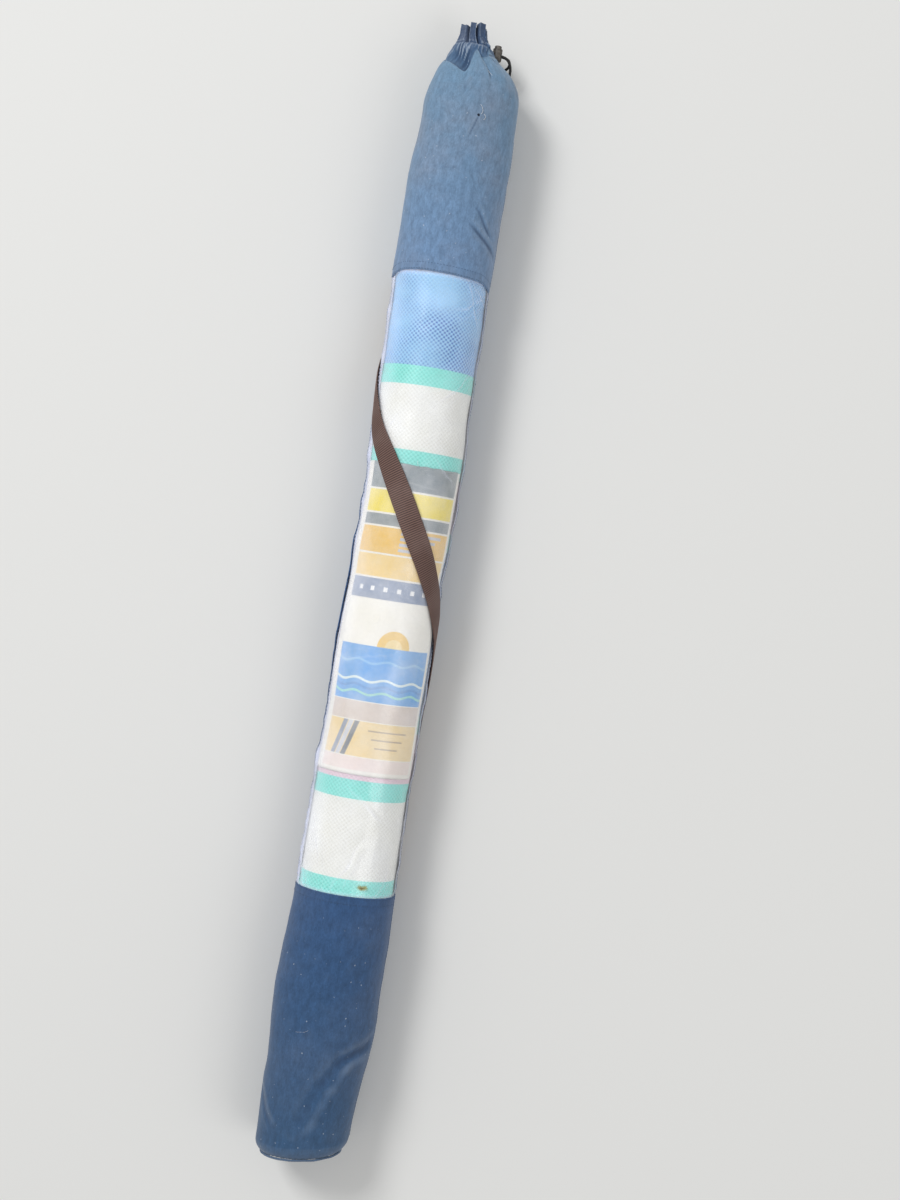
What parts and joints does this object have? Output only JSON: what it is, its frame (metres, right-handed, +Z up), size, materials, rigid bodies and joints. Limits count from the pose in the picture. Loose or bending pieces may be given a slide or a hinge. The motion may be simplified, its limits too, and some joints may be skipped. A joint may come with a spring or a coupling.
{
  "type": "packed beach windbreak in a carry bag",
  "caption": "Striped beach windbreak rolled round its wooden poles, packed in a navy drawstring carry bag with a clear window and a webbing carry strap",
  "frame": {"origin": "on the ground under the middle of the bag, the bottom centre of its box", "axes": "+Y along the bag to its gathered neck, +X to the right seen from above with the neck away from the viewer, +Z up out of the window"},
  "size_m": [0.112, 1.261, 0.1067],
  "materials": {
    "bag_fabric": "coated polyester, faded navy",
    "clear_sheet": "clear soft PVC, wrinkled",
    "binding_sheet": "hazy doubled PVC edge",
    "black_cord": "braided polyester cord",
    "cord_lock_plastic": "moulded plastic, scuffed",
    "brown_webbing": "ribbed polypropylene webbing",
    "printed_card": "printed and coated card",
    "striped_cloth": "woven polyethylene tape cloth in stripes",
    "pole_wood": "planed softwood"
  },
  "bodies": {
    "root": {"base_disc": "bag_fabric", "base_seam": "bag_fabric", "lower_sleeve": "bag_fabric", "lower_sleeve_seam": "bag_fabric", "lower_hem": "bag_fabric", "back_panel": "bag_fabric", "window": "clear_sheet", "window_binding_left": "binding_sheet", "window_binding_right": "binding_sheet", "upper_hem": "bag_fabric", "upper_sleeve": "bag_fabric", "upper_sleeve_seam": "bag_fabric", "neck_ruffle": "bag_fabric", "drawcord_ring": "black_cord", "drawcord_loop": "black_cord", "cord_lock_body": "cord_lock_plastic", "cord_lock_button": "cord_lock_plastic", "carry_strap": "brown_webbing", "strap_end_upper": "brown_webbing", "strap_end_lower": "brown_webbing", "card_insert": "printed_card", "windbreak_cloth": "striped_cloth", "pole_1": "pole_wood", "pole_2": "pole_wood", "pole_3": "pole_wood", "pole_4": "pole_wood", "pole_5": "pole_wood"}
  },
  "joints": []
}
